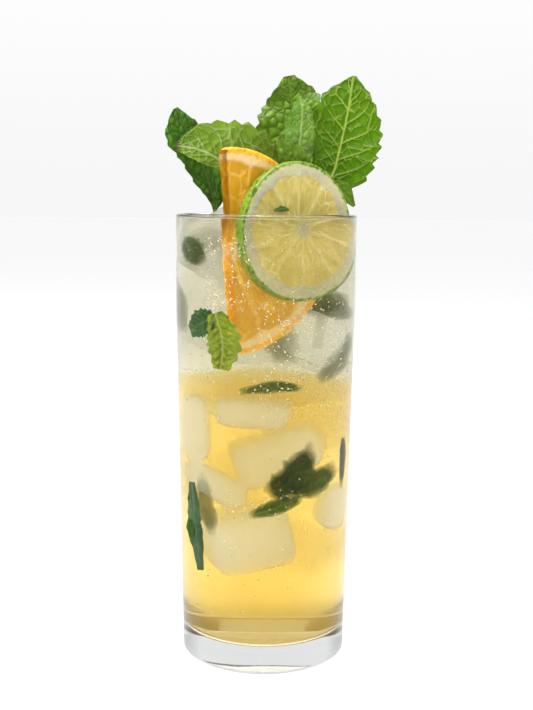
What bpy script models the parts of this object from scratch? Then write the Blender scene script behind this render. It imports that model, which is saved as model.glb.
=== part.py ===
# Tall straight glass of iced mojito with a lime wheel, half an orange slice and fresh mint.
# The glass stands on the ground with its axis on world Z, and the photographed side faces -Y.
import math
import bpy
import bmesh
from mathutils import Euler, Matrix, Vector

MM = 0.001
GAP = 0.3 * MM
WELD = 0.001 * MM

# glass
GLASS_HEIGHT = 160 * MM
RIM_RADIUS = 32.2 * MM
BASE_RADIUS = 29.8 * MM
TAPER_TOP = 126 * MM
WALL = 1.7 * MM
FOOT_ROUND = 1.8 * MM
FLOOR = 10 * MM
FLOOR_ROUND = 3.5 * MM
WALL_RINGS = (45 * MM, 86 * MM, TAPER_TOP)
GLASS_SEGMENTS = 64

# drink
DRINK_LEVEL = 158.4 * MM
MENISCUS_HEIGHT = 0.7 * MM
MENISCUS_WIDTH = 1.4 * MM

# citrus: both slices stand in one upright plane, the orange just behind the lime
SLICE_ALONG = Vector((0.8368, 0.5476, 0.0))
SLICE_FRONT = Vector((0.5476, -0.8368, 0.0))
SLICE_GAP = 0.4 * MM
RIND_ROUND = 0.7 * MM
POCKET_DEPTH = 0.4 * MM
POCKET_SHARES = (0.12, 0.24, 0.50, 0.76, 0.83)
STEPS_PER_SEGMENT = 5

LIME_CENTRE = Vector((10.1, -13.1, 154.2)) * MM
LIME_RADIUS = 24.0 * MM
LIME_SQUEEZE = 0.95
LIME_THICKNESS = 3.8 * MM
LIME_SEGMENTS = 10

ORANGE_LEFT = 22.2 * MM
ORANGE_HEIGHT = 147.3 * MM
ORANGE_RADIUS = 35 * MM
ORANGE_THICKNESS = 5.0 * MM
ORANGE_LEAN = math.radians(5.5)
ORANGE_SEGMENTS = 5

# ice cube that pokes out of the drink
ICE_SIZE = 18 * MM
ICE_CENTRE = Vector((-15.2, -1.0, 149.8)) * MM
ICE_TURN = Euler((math.radians(38), math.radians(-27), math.radians(24)))
ICE_ROUND = 2.2 * MM

# mint
LEAF_THICKNESS = 0.5 * MM
LEAF_TOOTH = 0.035
STEM_RADIUS = 1.3 * MM
STEM_PATH = ((13, 9, 112), (15, 9, 132), (17.2, 7.5, 152), (17.6, 5.6, 165.5))
STALK_CLEARANCE = 1.1 * MM


def clear_scene():
    """Remove every object so the build always starts from nothing."""
    for old in list(bpy.data.objects):
        bpy.data.objects.remove(old, do_unlink=True)


def make_material(name, colour, roughness, transmission=0.0):
    """One Principled material."""
    material = bpy.data.materials.new(name)
    material.use_nodes = True
    shader = material.node_tree.nodes["Principled BSDF"]
    shader.inputs["Base Color"].default_value = (*colour, 1.0)
    shader.inputs["Roughness"].default_value = roughness
    shader.inputs["Metallic"].default_value = 0.0
    shader.inputs["Transmission Weight"].default_value = transmission
    return material


def finish_object(name, bm, material, sharp_angle):
    """Turn a bmesh into an object shaded smooth up to the sharp angle."""
    bmesh.ops.recalc_face_normals(bm, faces=bm.faces)
    mesh = bpy.data.meshes.new(name)
    bm.to_mesh(mesh)
    bm.free()
    mesh.shade_smooth()
    mesh.set_sharp_from_angle(angle=math.radians(sharp_angle))
    if material:
        mesh.materials.append(material)
    obj = bpy.data.objects.new(name, mesh)
    bpy.context.scene.collection.objects.link(obj)
    return obj


def lathe(profile, steps, sweep=math.tau):
    """Spin a profile of (radius, height) points round Z and weld what meets."""
    bm = bmesh.new()
    verts = [bm.verts.new((radius, 0.0, height)) for radius, height in profile]
    edges = [bm.edges.new(pair) for pair in zip(verts, verts[1:])]
    bmesh.ops.spin(bm, geom=verts + edges, cent=(0, 0, 0), axis=(0, 0, 1), angle=sweep, steps=steps)
    bmesh.ops.remove_doubles(bm, verts=bm.verts, dist=WELD)
    return bm


def arc(centre_r, centre_z, radius, start, end, steps):
    """Profile points on a circular arc, angles in degrees."""
    points = []
    for i in range(steps + 1):
        angle = math.radians(start + (end - start) * i / steps)
        points.append((centre_r + radius * math.cos(angle), centre_z + radius * math.sin(angle)))
    return points


def outer_radius(z):
    """Outside radius of the glass: a slight taper, then straight to the rim."""
    return BASE_RADIUS + (RIM_RADIUS - BASE_RADIUS) * min(1.0, z / TAPER_TOP)


def inner_radius(z):
    """Inside radius of the glass."""
    return outer_radius(z) - WALL


def build_glass(material):
    """Heavy flat foot, thin tapered wall and a rounded lip."""
    foot = arc(outer_radius(0) - FOOT_ROUND, FOOT_ROUND, FOOT_ROUND, -90, 0, 5)
    lip = arc(RIM_RADIUS - WALL / 2, GLASS_HEIGHT - WALL / 2, WALL / 2, 0, 180, 6)
    corner_z = FLOOR + FLOOR_ROUND
    corner = arc(inner_radius(corner_z) - FLOOR_ROUND, corner_z, FLOOR_ROUND, 0, -90, 5)
    outside = [(outer_radius(z), z) for z in WALL_RINGS]
    inside = [(inner_radius(z), z) for z in reversed(WALL_RINGS)]
    profile = [(0.0, 0.0)] + foot + outside + lip + inside + corner + [(0.0, FLOOR)]
    return finish_object("glass", lathe(profile, GLASS_SEGMENTS), material, 40)


def build_drink(material):
    """The liquid, a gap inside the wall, curling up a little where it meets the glass."""
    corner_z = FLOOR + FLOOR_ROUND
    corner = arc(inner_radius(corner_z) - FLOOR_ROUND, corner_z, FLOOR_ROUND - GAP, -90, 0, 5)
    side = inner_radius(DRINK_LEVEL) - GAP
    wall = [(inner_radius(z) - GAP, z) for z in WALL_RINGS]
    surface = [(side, DRINK_LEVEL + MENISCUS_HEIGHT),
               (side - MENISCUS_WIDTH * 0.35, DRINK_LEVEL + MENISCUS_HEIGHT * 0.4),
               (side - MENISCUS_WIDTH, DRINK_LEVEL), (0.0, DRINK_LEVEL)]
    profile = [(0.0, FLOOR + GAP)] + corner + wall + surface
    return finish_object("drink", lathe(profile, GLASS_SEGMENTS), material, 40)


def citrus_slice(name, material, radius, thickness, segments, sweep, pocket_depth):
    """A flat round slice with a soft rind edge and pulp pockets sunk between the skins.

    A full turn gives a wheel, and half a turn a half slice whose cut face is filled.
    """
    half = thickness / 2
    front = [(0.0, half)] + [(share * radius, half) for share in POCKET_SHARES]
    front += [(radius - RIND_ROUND, half), (radius - RIND_ROUND * 0.3, half - RIND_ROUND * 0.3)]
    front += [(radius, half - RIND_ROUND)]
    back = [(r, -z) for r, z in reversed(front)]
    steps = segments * STEPS_PER_SEGMENT
    bm = lathe(front + back, steps, sweep)
    for vert in bm.verts:
        share = vert.co.xy.length / radius
        angle = math.atan2(vert.co.y, vert.co.x) % math.tau
        on_skin = round(angle / sweep * steps) % STEPS_PER_SEGMENT == 0
        in_pocket = POCKET_SHARES[0] + 0.01 < share < POCKET_SHARES[-1] - 0.01
        if in_pocket and not on_skin:
            vert.co.z -= math.copysign(pocket_depth, vert.co.z)
    open_edges = [edge for edge in bm.edges if edge.is_boundary]
    if open_edges:
        bmesh.ops.edgeloop_fill(bm, edges=open_edges)
    return finish_object(name, bm, material, 30)


def stand_slice(obj, centre, lean):
    """Stand a slice upright: its face looks along SLICE_FRONT, its local Y leans up by lean."""
    up = Vector((0, 0, 1))
    across = SLICE_ALONG * math.sin(lean) - up * math.cos(lean)
    rise = SLICE_ALONG * math.cos(lean) + up * math.sin(lean)
    turn = Matrix((across, rise, SLICE_FRONT)).transposed()
    obj.matrix_world = Matrix.Translation(centre) @ turn.to_4x4()


def build_lime(name, material, grow=0.0, pocket_depth=POCKET_DEPTH):
    """The lime wheel, or its cutter when it is grown by the gap."""
    wheel = citrus_slice(name, material, LIME_RADIUS + grow, LIME_THICKNESS + 2 * grow,
                         LIME_SEGMENTS, math.tau, pocket_depth)
    stand_slice(wheel, LIME_CENTRE, 0.0)
    wheel.scale.y = LIME_SQUEEZE
    return wheel


def build_orange(name, material, grow=0.0, pocket_depth=POCKET_DEPTH):
    """The half orange slice, or its cutter when it is grown by the gap."""
    slice_half = citrus_slice(name, material, ORANGE_RADIUS + 2 * grow, ORANGE_THICKNESS + 2 * grow,
                              ORANGE_SEGMENTS, math.pi, pocket_depth)
    lime_back = LIME_CENTRE.dot(SLICE_FRONT) - LIME_THICKNESS / 2
    depth = lime_back - SLICE_GAP - ORANGE_THICKNESS / 2
    centre = SLICE_FRONT * depth - SLICE_ALONG * ORANGE_LEFT + Vector((0, 0, ORANGE_HEIGHT))
    rise = SLICE_ALONG * math.cos(ORANGE_LEAN) + Vector((0, 0, math.sin(ORANGE_LEAN)))
    stand_slice(slice_half, centre - rise * grow, ORANGE_LEAN)
    return slice_half


def build_ice(name, material, grow=0.0):
    """A cube with rounded edges, tilted so that one corner stands out of the drink."""
    bm = bmesh.new()
    bmesh.ops.create_cube(bm, size=ICE_SIZE + 2 * grow)
    bmesh.ops.bevel(bm, geom=bm.edges, offset=ICE_ROUND, segments=3, profile=0.5, affect='EDGES')
    cube = finish_object(name, bm, material, 50)
    cube.location = ICE_CENTRE
    cube.rotation_euler = ICE_TURN
    return cube


def pipe(name, material, path, radius):
    """A round bar with closed ends that follows a smooth path, in metres."""
    curve = bpy.data.curves.new(name, 'CURVE')
    curve.dimensions = '3D'
    curve.bevel_depth = radius
    curve.bevel_resolution = 1
    curve.resolution_u = 4
    curve.use_fill_caps = True
    line = curve.splines.new('BEZIER')
    line.bezier_points.add(len(path) - 1)
    for knot, place in zip(line.bezier_points, path):
        knot.co = place
        knot.handle_left_type = 'AUTO'
        knot.handle_right_type = 'AUTO'
    guide = bpy.data.objects.new(name + "_path", curve)
    bpy.context.scene.collection.objects.link(guide)
    evaluated = guide.evaluated_get(bpy.context.evaluated_depsgraph_get())
    bm = bmesh.new()
    bm.from_mesh(evaluated.to_mesh())
    bpy.data.objects.remove(guide, do_unlink=True)
    bmesh.ops.remove_doubles(bm, verts=bm.verts, dist=WELD)
    return finish_object(name, bm, material, 50)


def follow(points, share):
    """Smooth curve through evenly spaced points or numbers; share runs from 0 to 1."""
    spans = len(points) - 1
    place = min(max(share, 0.0), 1.0) * spans
    k = min(int(place), spans - 1)
    t = place - k
    p1 = points[k]
    p2 = points[k + 1]
    p0 = points[k - 1] if k > 0 else p1 - (p2 - p1)
    p3 = points[k + 2] if k + 2 <= spans else p2 + (p2 - p1)
    square = (p0 * 2 - p1 * 5 + p2 * 4 - p3) * t ** 2
    cube = (p1 * 3 - p0 - p2 * 3 + p3) * t ** 3
    return (p1 * 2 + (p2 - p0) * t + square + cube) * 0.5


def build_leaf(name, material, spine, left, right, face, fold=0.1, wave=0.6, waves=2.0,
               phase=0.0, rows=13, columns=6):
    """One thin wavy leaf.

    The spine runs from stalk to tip in millimetres, left and right are the half widths along
    it, face is the way the leaf looks, fold lifts both halves and wave ripples the margins.
    """
    points = [Vector(p) * MM for p in spine]
    outward = Vector(face).normalized()
    bm = bmesh.new()
    bmesh.ops.create_grid(bm, x_segments=rows, y_segments=columns, size=0.5)
    for vert in bm.verts:
        share = vert.co.x + 0.5
        v = vert.co.y * 2
        ahead = follow(points, min(1.0, share + 0.02)) - follow(points, max(0.0, share - 0.02))
        across = ahead.cross(outward).normalized()
        out = across.cross(ahead).normalized()
        width = max(0.25, follow(right if v > 0 else left, share)) * MM
        tooth = LEAF_TOOTH if round(share * rows) % 2 else -LEAF_TOOTH
        away = v * width * (1.0 + (tooth if abs(v) > 0.99 else 0.0))
        turn = math.tau * waves * share + phase + (1.9 if v < 0 else 0.0)
        ripple = wave * MM * math.sin(turn) * abs(v) ** 1.5 * min(1.0, width / (5 * MM))
        vert.co = follow(points, share) + across * away + out * (fold * abs(away) + ripple)
    bmesh.ops.triangulate(bm, faces=bm.faces, quad_method='FIXED')
    leaf = finish_object(name, bm, material, 70)
    skin = leaf.modifiers.new("thickness", 'SOLIDIFY')
    skin.thickness = LEAF_THICKNESS
    skin.offset = 0.0
    return leaf


def build_back_leaves(green):
    """The three broad dark leaves that stand behind the citrus."""
    build_leaf("mint_leaf_left_back", green,
               spine=[(-19.0, 14.0, 155.5), (-19.1, 13.8, 160.5), (-19.5, 13.0, 165.0),
                      (-21.6, 11.2, 172.2), (-25.3, 8.4, 181.8), (-29.5, 5.4, 190.4),
                      (-32.4, 3.0, 197.0)],
               left=[0.4, 0.5, 1.8, 4.8, 7.0, 8.4, 1.2], right=[0.4, 0.5, 4.2, 6.6, 7.2, 4.6, 0.6],
               face=(0.25, -0.95, 0.1), fold=0.12, wave=0.9, waves=2.6, rows=15)
    build_leaf("mint_leaf_centre_back", green,
               spine=[(15.6, 9.2, 168.5), (12.2, 11.2, 179.4), (9.6, 12.6, 192.0),
                      (8.6, 13.2, 201.0), (7.2, 12.2, 209.3)],
               left=[0.5, 12.0, 13.4, 9.6, 1.2], right=[0.5, 7.5, 9.6, 10.8, 2.6],
               face=(-0.1, -0.97, 0.2), fold=0.10, wave=1.4, waves=3.2, phase=1.0, rows=15)
    build_leaf("mint_leaf_right", green,
               spine=[(19.9, 4.4, 166.8), (24.1, 5.2, 175.1), (26.1, 6, 182.9),
                      (28.1, 7, 191.8), (29.8, 8, 201.7), (30.9, 9, 209.2)],
               left=[0.5, 7.5, 8.8, 11.2, 9.8, 0.5], right=[0.5, 11.4, 14.0, 13.4, 8.2, 0.8],
               face=(-0.12, -0.98, 0.15), fold=0.06, wave=0.6, waves=2.4, phase=2.0, rows=16)


def build_front_leaves(green, pale):
    """The paler leaves and the young ones in front of them."""
    build_leaf("mint_leaf_left_front", pale,
               spine=[(15.6, 5.8, 167.6), (9.0, 4.6, 169.2), (-1.7, -0.6, 171.9),
                      (-14.4, -5.4, 177.6), (-23.2, -8.0, 181.8), (-31.4, -10.0, 183.2)],
               left=[0.4, 2.0, 4.0, 3.0, 4.2, 1.6], right=[0.4, 5.0, 14.4, 15.4, 10.4, 0.8],
               face=(0.12, -0.95, 0.14), fold=0.12, wave=0.9, waves=2.2, phase=0.6)
    build_leaf("mint_leaf_centre_front", pale,
               spine=[(14.8, 0.8, 168.6), (11.6, -0.8, 179.7), (11.8, -0.2, 188.4),
                      (12.3, 1.2, 195.8), (11.4, 3.2, 201.4)],
               left=[0.5, 3.2, 5.6, 4.2, 0.4], right=[0.5, 5.2, 5.0, 4.2, 0.4],
               face=(0.15, -0.98, 0.1), fold=-0.35, wave=0.7, waves=2.4, phase=0.4)
    build_leaf("mint_leaf_young_left", green,
               spine=[(12.6, -2.4, 171.3), (8.2, -4.0, 178.8), (4.6, -3.6, 186.6)],
               left=[0.4, 3.6, 0.6], right=[0.4, 3.2, 0.6],
               face=(-0.3, -0.93, 0.2), fold=0.3, waves=1.6, rows=9)
    build_leaf("mint_leaf_young_right", green,
               spine=[(14.2, -4.6, 171.3), (12.4, -6.0, 177.6), (10.0, -6.2, 184.6)],
               left=[0.4, 2.4, 0.5], right=[0.4, 2.8, 0.5],
               face=(0.2, -0.95, 0.2), fold=0.3, wave=0.5, waves=1.6, rows=9)
    build_leaf("mint_leaf_low_right", pale,
               spine=[(20.6, 1.6, 170.2), (26.6, 2.2, 168.6), (31.4, 1.6, 163.0)],
               left=[0.4, 3.4, 0.5], right=[0.4, 3.0, 0.5],
               face=(-0.3, -0.9, 0.3), fold=0.15, wave=0.5, waves=1.5, rows=9)


def build_scraps(green):
    """Two torn scraps of mint that cling to the face of the lime wheel."""
    build_leaf("mint_scrap_rim", green,
               spine=[(2.6, -21.1, 161.4), (5.3, -19.3, 162.0), (7.8, -17.6, 161.6)],
               left=[0.4, 0.9, 0.3], right=[0.4, 1.1, 0.4],
               face=SLICE_FRONT, fold=0.0, wave=0.0, rows=5, columns=2)
    build_leaf("mint_scrap_side", green,
               spine=[(-4.6, -25.7, 166.2), (-4.1, -25.4, 167.6), (-3.7, -25.15, 168.9)],
               left=[0.3, 0.7, 0.3], right=[0.3, 0.6, 0.3],
               face=SLICE_FRONT, fold=0.0, wave=0.0, rows=4, columns=2)


def cut_drink(drink):
    """Cut the drink round all that is half sunk in it, the gap clear."""
    stem = [Vector(p) * MM for p in STEM_PATH]
    stem[0] = stem[0] + (stem[0] - stem[1]).normalized() * GAP
    stalk = [Vector(p) * MM for p in ((-19.0, 14.1, 154.4), (-19.1, 13.8, 158.0), (-19.3, 13.4, 162.0))]
    cutters = [
        build_lime("cutter_lime", None, GAP, 0.0),
        build_orange("cutter_orange", None, GAP, 0.0),
        build_ice("cutter_ice", None, GAP),
        pipe("cutter_stem", None, stem, STEM_RADIUS + GAP),
        pipe("cutter_stalk", None, stalk, STALK_CLEARANCE),
    ]
    for cutter in cutters:
        cutter.hide_render = True
        cutter.display_type = 'WIRE'
        cut = drink.modifiers.new(cutter.name, 'BOOLEAN')
        cut.operation = 'DIFFERENCE'
        cut.object = cutter


def build():
    """Make every solid of the drink."""
    clear_scene()
    glass = make_material("clear_glass", (0.90, 0.93, 0.92), 0.03, transmission=0.9)
    liquid = make_material("mojito", (0.80, 0.66, 0.36), 0.08, transmission=0.5)
    ice = make_material("ice", (0.84, 0.84, 0.78), 0.12, transmission=0.6)
    lime = make_material("lime_fruit", (0.62, 0.70, 0.30), 0.35)
    orange = make_material("orange_fruit", (0.92, 0.50, 0.06), 0.35)
    green = make_material("mint_green", (0.10, 0.26, 0.03), 0.45)
    pale = make_material("mint_pale", (0.24, 0.42, 0.06), 0.45)
    stem = make_material("mint_stalk", (0.28, 0.38, 0.10), 0.5)

    build_glass(glass)
    drink = build_drink(liquid)
    build_lime("lime_wheel", lime)
    build_orange("orange_slice", orange)
    build_ice("ice_cube_top", ice)
    pipe("mint_stem", stem, [Vector(p) * MM for p in STEM_PATH], STEM_RADIUS)
    build_back_leaves(green)
    build_front_leaves(green, pale)
    build_scraps(green)
    cut_drink(drink)


build()
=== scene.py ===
# %% [markdown]
# # A tall glass of iced mojito
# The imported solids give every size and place. This script dresses them: clear glass, cloudy
# golden drink, ice, bubbles, a lime wheel, half an orange slice and fresh mint. Each step says
# what the real thing is and why it is made the way it is.

# %% Load the frame
import math
import random
import bmesh
import bpy
from mathutils import Matrix, Vector, noise


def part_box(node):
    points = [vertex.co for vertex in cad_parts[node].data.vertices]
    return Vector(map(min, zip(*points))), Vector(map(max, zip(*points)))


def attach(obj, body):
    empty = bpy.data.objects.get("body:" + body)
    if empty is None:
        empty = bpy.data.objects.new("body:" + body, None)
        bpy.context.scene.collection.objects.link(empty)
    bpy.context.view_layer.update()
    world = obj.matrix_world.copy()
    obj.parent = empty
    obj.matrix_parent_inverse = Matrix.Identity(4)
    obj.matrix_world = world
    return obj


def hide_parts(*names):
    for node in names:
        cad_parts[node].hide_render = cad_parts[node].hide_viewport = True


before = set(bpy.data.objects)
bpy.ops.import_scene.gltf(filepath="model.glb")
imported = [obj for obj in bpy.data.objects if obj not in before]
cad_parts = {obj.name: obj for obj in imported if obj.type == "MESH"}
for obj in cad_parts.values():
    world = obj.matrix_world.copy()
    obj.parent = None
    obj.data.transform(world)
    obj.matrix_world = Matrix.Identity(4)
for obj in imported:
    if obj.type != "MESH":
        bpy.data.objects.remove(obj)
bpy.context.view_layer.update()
MM = 0.001
print("solids:", sorted(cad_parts))

# %% [markdown]
# ## Camera
# The photograph was taken from a little above the rim, 39 cm away, looking down 8 degrees.
# A camera is placed by its matrix: first tilt it, then roll it by half a degree, because the
# glass leans that much in the picture.

# %% Camera
CAMERA_PLACE = Vector((0.0, -389.0, 163.6)) * MM
CAMERA_DOWN = math.radians(7.95)
CAMERA_ROLL = math.radians(0.456)
CAMERA_LENS = 54.9
CAMERA_SHIFT = 0.0017

camera_data = bpy.data.cameras.new("camera")
camera_data.lens = CAMERA_LENS
camera_data.shift_x = CAMERA_SHIFT
camera_data.clip_start = 0.01
camera = bpy.data.objects.new("camera", camera_data)
bpy.context.scene.collection.objects.link(camera)
tilt = Matrix.Rotation(math.pi / 2 - CAMERA_DOWN, 4, 'X')
roll = Matrix.Rotation(CAMERA_ROLL, 4, 'Z')
camera.matrix_world = Matrix.Translation(CAMERA_PLACE) @ tilt @ roll
bpy.context.scene.camera = camera
print("camera", round(CAMERA_PLACE.length * 100), "cm away")

# %% [markdown]
# ## Small helpers
# Modelling by operators acts on whatever is selected, so each step first clears the selection.
# `pick` selects faces or edges by a test on their centre, as a hand would by looking.

# %% Selection helpers
def clear_selection():
    """Leave edit mode and deselect everything."""
    if bpy.context.mode != 'OBJECT':
        bpy.ops.object.mode_set(mode='OBJECT')
    bpy.ops.object.select_all(action='DESELECT')


def take(piece):
    """Make one object the only selected one, and the active one."""
    clear_selection()
    piece.select_set(True)
    bpy.context.view_layer.objects.active = piece


def pick(piece, kind, test):
    """In edit mode, select only the parts of one kind whose centre passes the test."""
    bpy.ops.mesh.select_mode(type=kind)
    bpy.ops.mesh.select_all(action='DESELECT')
    bm = bmesh.from_edit_mesh(piece.data)
    for part in (bm.edges if kind == 'EDGE' else bm.faces):
        centre = sum((vert.co for vert in part.verts), Vector()) / len(part.verts)
        if test(centre, part):
            part.select_set(True)
    bm.select_flush_mode()
    bmesh.update_edit_mesh(piece.data)


def extrude_to(rise):
    """Extrude the selected face and move it up, or down where the rise is negative."""
    bpy.ops.mesh.extrude_region_move(TRANSFORM_OT_translate={"value": (0, 0, rise)})


def big_face(centre, face):
    """A test for the flat many-sided faces that cap a cylinder."""
    return len(face.verts) > 8


def apply_modifier(piece, kind, **settings):
    """Add one modifier with these settings and apply it at once."""
    take(piece)
    modifier = piece.modifiers.new(kind.lower(), kind)
    for key, value in settings.items():
        setattr(modifier, key, value)
    bpy.ops.object.modifier_apply(modifier=modifier.name)


def settle(piece, name, material, slot, *nodes, angle=40):
    """Apply the piece's place, name it, give it its finish, and let it ride on the glass."""
    take(piece)
    bpy.ops.object.transform_apply(location=True, rotation=True, scale=True)
    bpy.ops.object.shade_smooth_by_angle(angle=math.radians(angle))
    piece.name = name
    piece.data.name = name
    piece.data.materials.clear()
    piece.data.materials.append(material)
    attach(piece, "root")
    if nodes:
        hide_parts(*nodes)
    print(name, len(piece.data.polygons), "faces")


# %% [markdown]
# ## Nodes for materials
# Every finish is built from nodes. These helpers keep the recipes short: one makes a node and
# sets its inputs, one blends two colours, one makes a colour ramp.

# %% Material helpers
def start_material(name):
    """A new material with only an output node, and its node tree."""
    material = bpy.data.materials.new(name)
    material.use_nodes = True
    tree = material.node_tree
    tree.nodes.clear()
    output = tree.nodes.new("ShaderNodeOutputMaterial")
    return material, tree, output


def add(tree, kind, inputs=None, **settings):
    """One node. An input is a value, another node, or one of another node's outputs."""
    made = tree.nodes.new("ShaderNode" + kind)
    for key, value in settings.items():
        setattr(made, key, value)
    for key, value in (inputs or {}).items():
        if isinstance(value, bpy.types.Node):
            value = value.outputs[0]
        if isinstance(value, bpy.types.NodeSocket):
            tree.links.new(value, made.inputs[key])
        elif isinstance(value, tuple) and len(value) == 3 and made.inputs[key].type == 'RGBA':
            made.inputs[key].default_value = (*value, 1.0)
        else:
            made.inputs[key].default_value = value
    return made


def maths(tree, operation, first, second=0.0):
    """One sum on numbers."""
    return add(tree, "Math", {0: first, 1: second}, operation=operation).outputs[0]


def times(tree, first, second):
    """One number times another."""
    return maths(tree, 'MULTIPLY', first, second)


def blend(tree, share, first, second, mode='MIX'):
    """Mix two colours by a share."""
    made = add(tree, "Mix", {0: share}, data_type='RGBA', blend_type=mode)
    for index, value in ((6, first), (7, second)):
        if isinstance(value, tuple):
            made.inputs[index].default_value = (*value, 1.0)
        else:
            tree.links.new(value, made.inputs[index])
    return made.outputs[2]


def ramp(tree, share, stops):
    """A soft colour ramp through (place, colour) stops."""
    made = add(tree, "ValToRGB", {0: share})
    line = made.color_ramp
    line.interpolation = 'EASE'
    while len(line.elements) < len(stops):
        line.elements.new(0.5)
    for element, (place, colour) in zip(line.elements, stops):
        element.position = place
        element.color = (*colour, 1.0)
    return made.outputs[0]


def span(tree, value, low, high, to_low=0.0, to_high=1.0):
    """Map a number from one range to another, clamped."""
    made = add(tree, "MapRange", {0: value, 1: low, 2: high, 3: to_low, 4: to_high})
    return made.outputs[0]


def spots(tree, scale, detail=2.0):
    """Cloudy noise through the piece, the same in every direction."""
    place = add(tree, "TexCoord")
    return add(tree, "TexNoise", {"Vector": place.outputs["Object"], "Scale": scale,
                                  "Detail": detail}).outputs[0]


def position(tree):
    """The place inside the piece, as the three outputs X, Y and Z."""
    place = add(tree, "TexCoord")
    return add(tree, "SeparateXYZ", {0: place.outputs["Object"]}).outputs


def let_lamps_through(tree, output, shader, tint):
    """Lamps would see clear glass as solid, so their shadow rays pass, tinted."""
    path = add(tree, "LightPath")
    clear = add(tree, "BsdfTransparent", {"Color": tint})
    mix = add(tree, "MixShader", {0: path.outputs["Is Shadow Ray"], 1: shader, 2: clear})
    tree.links.new(mix.outputs[0], output.inputs["Surface"])


# %% [markdown]
# ## Studio
# The photograph is a bright cut-out: white all round, very soft shadows. A large white floor and
# an even white world give that, and three soft lamps shape the glass with long highlights.

# %% Floor
FLOOR_SIZE = 24.0

clear_selection()
bpy.ops.mesh.primitive_grid_add(x_subdivisions=12, y_subdivisions=12, size=FLOOR_SIZE,
                                location=(0, 0, -0.0002))
floor = bpy.context.active_object
floor.name = "studio_floor"
floor_material, tree, output = start_material("studio_white")
grain = add(tree, "TexNoise", {"Scale": 3.0})
floor_colour = blend(tree, span(tree, grain.outputs[0], 0, 1, 0, 0.1),
                     (0.96, 0.96, 0.96), (0.93, 0.93, 0.93))
floor_shader = add(tree, "BsdfPrincipled", {"Base Color": floor_colour, "Roughness": 0.8,
                                            "Specular IOR Level": 0.2,
                                            "Emission Color": (1.0, 1.0, 1.0), "Emission Strength": 0.12})
tree.links.new(floor_shader.outputs[0], output.inputs["Surface"])
floor.data.materials.append(floor_material)
floor.visible_glossy = False
print("floor", FLOOR_SIZE, "m")


# %% White studio all round
def grey(tree, value):
    """A grey made from one number."""
    return add(tree, "CombineXYZ", {0: value, 1: value, 2: value}).outputs[0]


world = bpy.data.worlds.new("white_studio")
bpy.context.scene.world = world
world.use_nodes = True
tree = world.node_tree
tree.nodes.clear()
coordinate = add(tree, "TexCoord")
way = add(tree, "SeparateXYZ", {0: coordinate.outputs["Generated"]})
studio = ramp(tree, span(tree, way.outputs["Y"], -1.0, 1.0),
              [(0.0, (0.62, 0.62, 0.62)), (0.45, (0.85, 0.85, 0.85)), (0.8, (1.13, 1.13, 1.13))])
backdrop = ramp(tree, span(tree, way.outputs["Z"], 0.0, 0.25),
                [(0.0, (0.93, 0.93, 0.93)), (1.0, (1.0, 1.0, 1.0))])
sides = span(tree, maths(tree, 'ABSOLUTE', way.outputs["X"]), 0.60, 0.98, 1.0, 0.50)
studio = blend(tree, 1.0, studio, grey(tree, sides), 'MULTIPLY')
path = add(tree, "LightPath")
dim = span(tree, way.outputs["Y"], -0.6, 0.2, 0.4, 1.0)
mirrored = blend(tree, 1.0, studio, grey(tree, dim), 'MULTIPLY')
only_mirror = maths(tree, 'SUBTRACT', path.outputs["Is Glossy Ray"], path.outputs["Is Transmission Ray"])
shown = blend(tree, only_mirror, studio, mirrored)
shown = blend(tree, path.outputs["Is Camera Ray"], shown, backdrop)
light = add(tree, "Background", {"Color": shown, "Strength": 1.0})
world_output = add(tree, "OutputWorld")
tree.links.new(light.outputs[0], world_output.inputs[0])


# %% Soft lamps
def soft_lamp(name, place, aim, size, power, mirrored=False):
    """A large rectangular lamp aimed at a point."""
    data = bpy.data.lights.new(name, 'AREA')
    data.shape = 'RECTANGLE'
    data.size = size[0]
    data.size_y = size[1]
    data.energy = power
    lamp = bpy.data.objects.new(name, data)
    bpy.context.scene.collection.objects.link(lamp)
    lamp.location = place
    lamp.rotation_euler = (Vector(aim) - Vector(place)).to_track_quat('-Z', 'Y').to_euler()
    lamp.visible_glossy = mirrored
    lamp.visible_transmission = False


soft_lamp("lamp_left", (-0.62, -0.30, 0.42), (0, 0, 0.10), (0.25, 0.7), 4.0)
soft_lamp("lamp_right_back", (0.55, 0.45, 0.50), (0, 0, 0.12), (0.4, 0.6), 5.0)
soft_lamp("lamp_top", (-0.10, -0.25, 0.80), (0, 0, 0.15), (0.4, 0.4), 5.0, mirrored=True)

scene = bpy.context.scene
scene.view_settings.view_transform = 'Standard'
scene.cycles.max_bounces = 18
scene.cycles.transmission_bounces = 16
scene.cycles.volume_bounces = 4
scene.cycles.transparent_max_bounces = 24
scene.cycles.caustics_reflective = False
print("white world and 3 lamps")

# %% [markdown]
# ## Glass
# A pressed highball glass: a thick clear foot, a wall of 1.7 mm that widens a little towards the
# top, and a rounded lip. It starts as a cone, is drawn up, inset and pushed back down, the way a
# plunger shapes hot glass, and its edges are bevelled last.

# %% Glass sizes
GLASS_LOW, GLASS_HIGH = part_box("glass")
GLASS_HEIGHT = GLASS_HIGH.z
RIM_RADIUS = (GLASS_HIGH.x - GLASS_LOW.x) / 2
BASE_RADIUS = 29.8 * MM
TAPER_TOP = 126 * MM
WALL = 1.7 * MM
GLASS_FLOOR = 10 * MM
FOOT_ROUND = 1.8 * MM
FLOOR_ROUND = 3.5 * MM
LIP_ROUND = WALL * 0.45
GLASS_SIDES = 144
GLASS_TINT = (0.985, 0.99, 0.985)
GLASS_BENDS = 1.5
DRINK_BENDS = 1.33
DRINK_LEVEL = 158.4 * MM
TOUCH_FROM = GLASS_FLOOR + 2 * MM
HEAD_ON = 0.25


def outer_radius(z):
    """Outside radius of the glass at a height."""
    return BASE_RADIUS + (RIM_RADIUS - BASE_RADIUS) * min(1.0, z / TAPER_TOP)


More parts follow.
